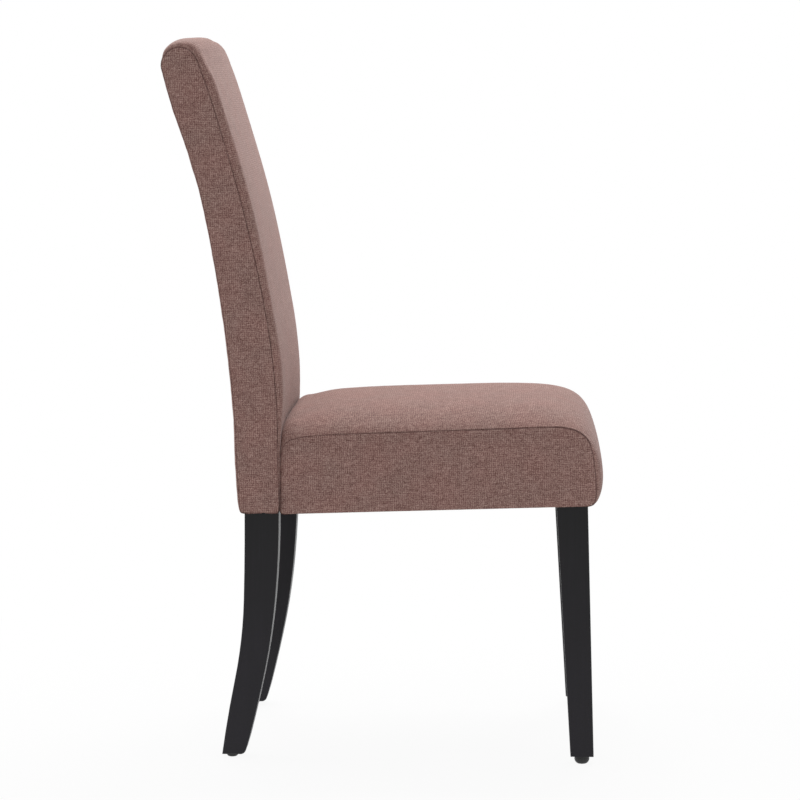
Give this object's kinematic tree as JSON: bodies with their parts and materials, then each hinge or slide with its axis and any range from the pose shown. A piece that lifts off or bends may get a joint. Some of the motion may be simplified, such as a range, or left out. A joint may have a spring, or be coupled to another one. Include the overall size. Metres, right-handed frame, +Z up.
{
  "type": "upholstered dining chair",
  "caption": "Armless dining chair with a padded box seat, a tall back curving rearwards to a rolled top, tapered front legs and sabre-curved rear legs.",
  "frame": {"origin": "on the floor, under the middle of the chair's overall box", "axes": "+Z up; the chair faces -Y; X runs across it, and the left of a sitter is +X"},
  "size_m": [0.45, 0.6068, 1.0005],
  "materials": {
    "upholstery_cloth": "mauve-brown linen-look weave, matt",
    "black_lacquer_wood": "black satin lacquer over hardwood",
    "frame_hardwood": "bare sawn hardwood",
    "plywood": "bare birch plywood",
    "hardboard": "plain brown hardboard",
    "cream_foam": "open-cell foam",
    "white_wadding": "soft fibre wadding",
    "black_lining_cloth": "thin non-woven lining cloth",
    "zinc_steel": "bright zinc plate",
    "black_glide_plastic": "moulded, slightly worn"
  },
  "bodies": {
    "root": {"seat_top_cover": "upholstery_cloth", "seat_side_cover_left": "upholstery_cloth", "seat_side_cover_right": "upholstery_cloth", "back_front_cover": "upholstery_cloth", "back_side_cover_left": "upholstery_cloth", "back_side_cover_right": "upholstery_cloth", "outside_back_cover": "upholstery_cloth", "rear_post_left": "black_lacquer_wood", "rear_post_right": "black_lacquer_wood", "front_leg_left": "black_lacquer_wood", "front_leg_right": "black_lacquer_wood", "seat_front_rail": "frame_hardwood", "seat_rear_rail": "frame_hardwood", "seat_side_rail_left": "frame_hardwood", "seat_side_rail_right": "frame_hardwood", "crest_rail": "frame_hardwood", "middle_back_rail": "frame_hardwood", "lower_back_rail": "frame_hardwood", "bottom_back_rail": "frame_hardwood", "back_dowels": "frame_hardwood", "corner_block_front_left": "frame_hardwood", "corner_block_front_right": "frame_hardwood", "corner_block_rear_left": "frame_hardwood", "corner_block_rear_right": "frame_hardwood", "seat_deck": "plywood", "back_board": "hardboard", "outside_back_board": "hardboard", "seat_foam": "cream_foam", "seat_front_pad": "cream_foam", "back_foam": "cream_foam", "seat_side_wadding_left": "white_wadding", "seat_side_wadding_right": "white_wadding", "back_side_wadding_left": "white_wadding", "back_side_wadding_right": "white_wadding", "outside_back_wadding": "white_wadding", "dust_cover": "black_lining_cloth", "hanger_bolts": "zinc_steel", "hanger_bolt_washers": "zinc_steel", "hanger_bolt_nuts": "zinc_steel", "seat_bolts": "zinc_steel", "seat_bolt_washers": "zinc_steel", "seat_tee_nuts": "zinc_steel", "corner_block_screws": "zinc_steel", "deck_screws": "zinc_steel", "dust_cover_staples": "zinc_steel", "glide_nails": "zinc_steel", "front_glide_left": "black_glide_plastic", "front_glide_right": "black_glide_plastic", "rear_glide_left": "black_glide_plastic", "rear_glide_right": "black_glide_plastic"}
  },
  "joints": []
}
